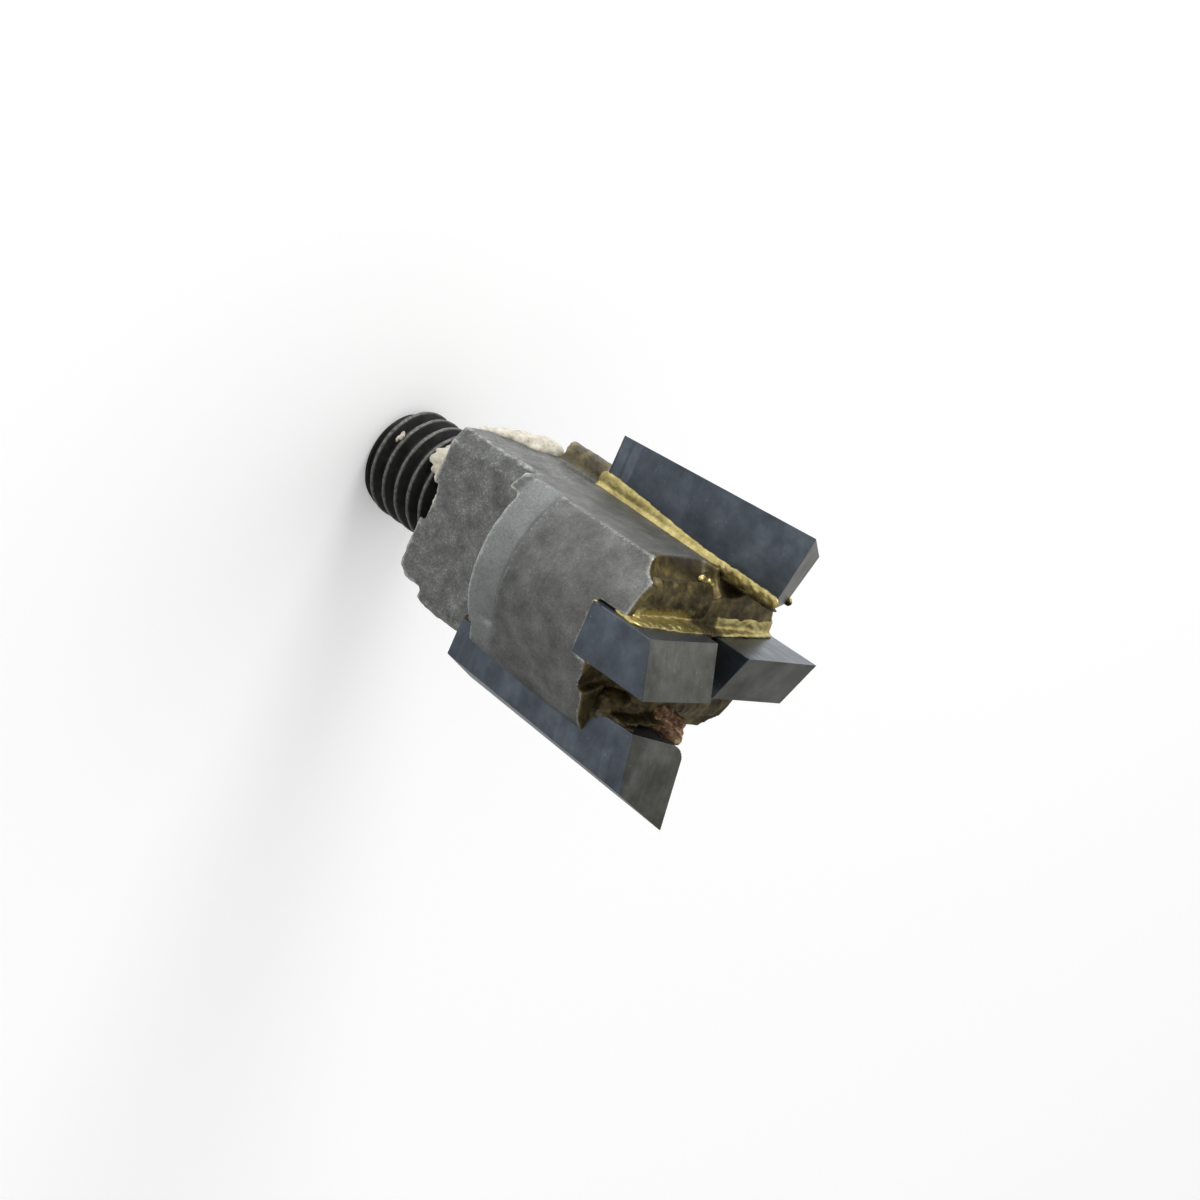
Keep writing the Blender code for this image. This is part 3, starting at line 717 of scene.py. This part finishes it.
# The side joints, each with its own overflow at the front: nuggets in the scoop by tip A, and a
# lumpy run over the dish by tip B.
nuggets = ((5.1, -1.15, 33.95), (5.3, -0.2, 33.4), (5.25, -0.85, 33.7), (5.45, -1.9, 33.6),
           (5.85, -2.9, 33.4))
joints = {}
for letter, turn in (("a", Matrix.Identity(4)), ("b", HALF_TURN)):
    bm = side_joint(letter, turn @ TIP_FRAME)
    if letter == "a":
        fillet(bm, TIP_FRAME, -8.0, -1.5, lambda z: ((6.02, -0.35), (0.18, 0.5)))
        fillet(bm, TIP_FRAME, -5.0, -3.3, lambda z: ((6.2, -4.1), (0.40, 0.26)))
        for x, y, z in nuggets:
            lump(bm, (x, y, z), NUGGET_RADII)
        lump(bm, (5.45, -1.6, 33.2), (0.55, 1.8, 0.5))
    else:
        lump(bm, (-6.0, 5.25, 36.9), (0.30, 0.32, 0.45))
        lumps(bm, (((-7.3, 5.4, 32.7), (1.0, 0.5, 1.5)), ((-6.6, 5.3, 33.2), (1.0, 0.6, 1.9)),
                   ((-6.0, 5.2, 34.2), (0.6, 0.6, 2.4)), ((-5.8, 4.3, 34.4), (0.5, 1.3, 2.2)),
                   ((-5.7, 2.9, 34.6), (0.5, 1.6, 2.2)), ((-5.7, 1.4, 34.8), (0.5, 1.5, 2.2)),
                   ((-5.2, 3.6, 33.9), (1.2, 2.4, 1.6))), fineness=4)
    joints["side_braze_" + letter] = bm

# The end joints: a fillet along both long sides of each tip, one wide foot of braze in front of its
# rake face, a pool between the tips, and the film under the tip.
for letter, turn in (("c", END_TURN), ("d", HALF_TURN @ END_TURN)):
    bm = bmesh.new()
    out = 0.2
    while out < FILLET_END:
        wander = 0.14 * noise.noise(Vector((out * 0.8, 5.0, 0.0 if letter == "c" else 9.0)))
        rise = 0.75 + 0.20 * math.sin(out * 0.55) + wander
        lump(bm, (2.35, out, 35.45), (0.30, 0.6, rise + 0.55), turn)
        foot = min(1.7, (math.sqrt(8.8 ** 2 - out * out) - 2.3) / 2) if out < 8.2 else 0.2
        lump(bm, (2.2 + foot, out, 34.55), (foot, 0.6, 0.85), turn)
        if letter == "c":
            lump(bm, (-2.0, out, 33.6 if out > 5.3 else 34.9), (0.30, 0.6, 0.75 + wander), turn)
        else:
            lump(bm, (-2.05, out, 35.0), (0.28, 0.6, 1.5 - 0.09 * out + wander), turn)
            lump(bm, (-2.7, out, 34.5), (0.9, 0.6, 0.85), turn)
        out += FILLET_STEP
    lump(bm, (0.2, 0.3, 35.6), (2.2, 1.1, 1.5), turn)
    lump(bm, (0.2, 5.0, 32.1), (2.2, 3.9, 0.2), turn)
    lump(bm, (2.15, 9.15, 32.2), (0.25, 0.35, 0.25), turn)
    joints["end_braze_" + letter] = bm

# Brass braze: satin yellow where it is clean, and brown and duller where flux and smoke tarnished it and,
# as painted shade, under and behind the tips and in the gap between them.
brass, tree, shader = new_finish("brass_braze")
place = add(tree, "ShaderNodeTexCoord").outputs["Object"]
tarnish = add(tree, "ShaderNodeAttribute", {"attribute_name": "tarnish"}).outputs["Fac"]
cloud = add(tree, "ShaderNodeTexNoise", {"Scale": 1 / (1.2 * MM), "Detail": 5.0, "Roughness": 0.65},
            {"Vector": place}).outputs["Fac"]
grain = add(tree, "ShaderNodeTexNoise", {"Scale": 1 / (0.22 * MM), "Detail": 3.0},
            {"Vector": place}).outputs["Fac"]
gold = add(tree, "ShaderNodeValToRGB",
           {"stops": [(0.30, "7d7048"), (0.48, "9b8e5a"), (0.66, "b9ac74")]}, {"Fac": cloud})
brown = add(tree, "ShaderNodeValToRGB",
            {"stops": [(0.32, "2b2518"), (0.50, "4c432e"), (0.68, "6e6242")]}, {"Fac": cloud})
patchy = add(tree, "ShaderNodeMath", {"operation": "MULTIPLY_ADD", 1: 0.9, 2: -0.45}, {0: grain})
over = add(tree, "ShaderNodeMath", {"operation": "ADD"}, {0: tarnish, 1: patchy.outputs[0]})
mask = add(tree, "ShaderNodeMapRange", {"From Min": 0.2, "From Max": 0.8}, {"Value": over.outputs[0]})
mixed = add(tree, "ShaderNodeMix", {"data_type": "RGBA"},
            {0: mask.outputs[0], 6: gold.outputs[0], 7: brown.outputs[0]})
tree.links.new(mixed.outputs[2], shader.inputs["Base Color"])
dull = add(tree, "ShaderNodeMapRange", {"To Min": 0.34, "To Max": 0.55}, {"Value": mask.outputs[0]})
tree.links.new(dull.outputs[0], shader.inputs["Roughness"])
shader.inputs["Metallic"].default_value = 0.9
ripple = add(tree, "ShaderNodeBump", {"Strength": 0.35, "Distance": 0.02 * MM}, {"Height": grain})
tree.links.new(ripple.outputs["Normal"], shader.inputs["Normal"])


def side_tarnish_and_shade(p, n):
    """Brown on the tip's root and behind it, partly tarnish and partly painted shade under and behind the
    tip. The rake fillet and the nuggets stay yellow.
    """
    if min((p - Vector(at)).length for at in nuggets) < 0.42:
        return 0.0
    q = p.copy()
    if q.x < 0:
        q.x, q.y = -q.x, -q.y
    front = soft_step(31.0, 34.0, q.z)
    under = soft_step(6.45, 6.05, q.x) * front
    behind = 0.0
    if p.x > 0 or p.z < 36.4:
        behind = soft_step(-3.4, -4.2, q.y) * 0.95 * soft_step(37.2, 36.4, q.z)
    loose = 0.35 * max(noise.noise(q / 0.8), 0)
    return max(under, behind) + loose


def end_tarnish_and_shade(p, n):
    """Brown away from the carbide, and in the middle where the four tips meet, partly tarnish and partly
    painted shade in the gap between the tips.
    """
    away = soft_step(2.9, 3.8, abs((END_TURN.inverted() @ p).x)) * 0.9
    middle = soft_step(1.9, 1.2, abs(p.y))
    return max(away, middle) + 0.35 * max(noise.noise(p / 0.9), 0)


def rippled(p, n):
    """Nearly smooth along the tips, and lumpier at the cutting end."""
    return (0.02 + 0.05 * soft_step(31, 33, p.z)) * noise.fractal(p / 0.5, 0.8, 2.0, 3)


for node, bm in joints.items():
    joint = remeshed(new_object(node.replace("braze", "fillet"), bm), 0.12, 0.5, 5)
    roughened(joint, rippled)
    marked(joint, "tarnish", side_tarnish_and_shade if node.startswith("side") else end_tarnish_and_shade)
    joint.data.shade_smooth()
    dressed(joint, brass, node=node, slot="braze")


# --- Flux crust -------------------------------------------------------------------------------
# Rusty brazing flux that dripped into the corner by the root of tip B and baked there. It is a
# brittle, crumbly column stuck to the braze.

bm = bmesh.new()
lumps(bm, (((-4.9, -1.3, 34.4), (0.8, 1.1, 0.7)), ((-5.4, -2.2, 34.6), (0.7, 1.0, 0.7)),
           ((-6.0, -2.6, 34.9), (0.5, 0.8, 0.8)), ((-5.7, -1.5, 35.4), (0.6, 1.1, 1.2)),
           ((-5.95, -0.7, 36.2), (0.55, 0.9, 1.2)), ((-6.1, 0.1, 37.0), (0.48, 0.9, 1.0)),
           ((-6.1, 0.9, 37.7), (0.40, 0.7, 1.0)), ((-5.2, -0.3, 34.9), (0.8, 1.3, 0.9)),
           ((-5.6, 0.7, 35.7), (0.5, 1.2, 1.2)), ((-5.8, 1.3, 36.8), (0.36, 0.9, 1.2)),
           ((-6.4, 0.4, 36.2), (0.5, 0.7, 1.6))))
flux_crust = remeshed(new_object("flux_crust", bm), 0.09, 0.5, 2)
roughened(flux_crust, lambda p, n: 0.18 * noise.fractal(p / 0.6, 0.8, 2.0, 4) - 0.05)
flux_crust.data.shade_smooth()

# Baked flux and rust: crumbly and dull, in patches from orange-brown to nearly black.
baked_flux, tree, shader = new_finish("rusty_baked_flux")
place = add(tree, "ShaderNodeTexCoord").outputs["Object"]
patch = add(tree, "ShaderNodeTexNoise", {"Scale": 1 / (0.7 * MM), "Detail": 6.0, "Roughness": 0.7},
            {"Vector": place}).outputs["Fac"]
crumb = add(tree, "ShaderNodeTexNoise", {"Scale": 1 / (0.15 * MM), "Detail": 3.0},
            {"Vector": place}).outputs["Fac"]
rust = [(0.34, "2a1c12"), (0.44, "49301c"), (0.52, "6a4a2e"), (0.60, "80684a"), (0.72, "aa9b7c")]
skin = add(tree, "ShaderNodeValToRGB", {"stops": rust}, {"Fac": patch})
tree.links.new(skin.outputs[0], shader.inputs["Base Color"])
shader.inputs["Roughness"].default_value = 0.8
crumbs = add(tree, "ShaderNodeBump", {"Strength": 0.6, "Distance": 0.05 * MM}, {"Height": crumb})
tree.links.new(crumbs.outputs["Normal"], shader.inputs["Normal"])
dressed(flux_crust, baked_flux, slot="braze")


# --- Floor and light --------------------------------------------------------------------------
# A plain pale table, one soft lamp low at the tool's side, and a white room with brighter sides.

bm = bmesh.new()
bmesh.ops.create_grid(bm, x_segments=1, y_segments=1, size=3.0)
floor = new_object("floor", bm)
# White card: matt and even, and it glows a little so that it stays pale round the tool.
floor_white, tree, shader = new_finish("white_card")
shader.inputs["Base Color"].default_value = paint("f4f4f4")
shader.inputs["Roughness"].default_value = 0.9
shader.inputs["Emission Color"].default_value = (1, 1, 1, 1)
shader.inputs["Emission Strength"].default_value = 0.15
floor.data.materials.append(floor_white)


def soft_light(name, place, target, size, power):
    data = bpy.data.lights.new(name, "AREA")
    data.shape = "DISK"
    data.size = size
    data.energy = power
    made = bpy.data.objects.new(name, data)
    bpy.context.scene.collection.objects.link(made)
    aim = Vector(target) - Vector(place)
    made.matrix_world = Matrix.Translation(place) @ aim.to_track_quat("-Z", "Y").to_matrix().to_4x4()


soft_light("key_light", (0.50, 0.05, 0.16), (0, 0, 0.02), 0.25, 1.6)

# A white room: an even glow with a few broad brighter patches, which the table lets through.
EVEN_GLOW = 0.62
PATCH_SHARPNESS = 4.0
PATCHES = (((1, 1, -1), 1.15), ((1, -1, -1), 1.10), ((1, -1, 1), 0.60), ((0, 1, 0), 0.40),
           ((1, 0, 0), 0.40))

floor.visible_glossy = False
floor.visible_shadow = False
world = bpy.data.worlds.new("room")
bpy.context.scene.world = world
world.use_nodes = True
tree = world.node_tree
tree.nodes["Background"].inputs["Color"].default_value = (1, 1, 1, 1)
heading = add(tree, "ShaderNodeTexCoord").outputs["Generated"]
room_glow = None
for towards, strength in PATCHES:
    aim = tuple(Vector(towards).normalized())
    facing = add(tree, "ShaderNodeVectorMath", {"operation": "DOT_PRODUCT", 1: aim}, {0: heading})
    ahead = add(tree, "ShaderNodeMath", {"operation": "MAXIMUM", 1: 0.0}, {0: facing.outputs["Value"]})
    patch = add(tree, "ShaderNodeMath", {"operation": "POWER", 1: PATCH_SHARPNESS},
                {0: ahead.outputs[0]})
    glow = add(tree, "ShaderNodeMath", {"operation": "MULTIPLY_ADD", 1: strength, 2: EVEN_GLOW},
               {0: patch.outputs[0]})
    if room_glow is not None:
        tree.links.new(room_glow, glow.inputs[2])
    room_glow = glow.outputs[0]
tree.links.new(room_glow, tree.nodes["Background"].inputs["Strength"])
bpy.context.scene.view_settings.view_transform = "Standard"
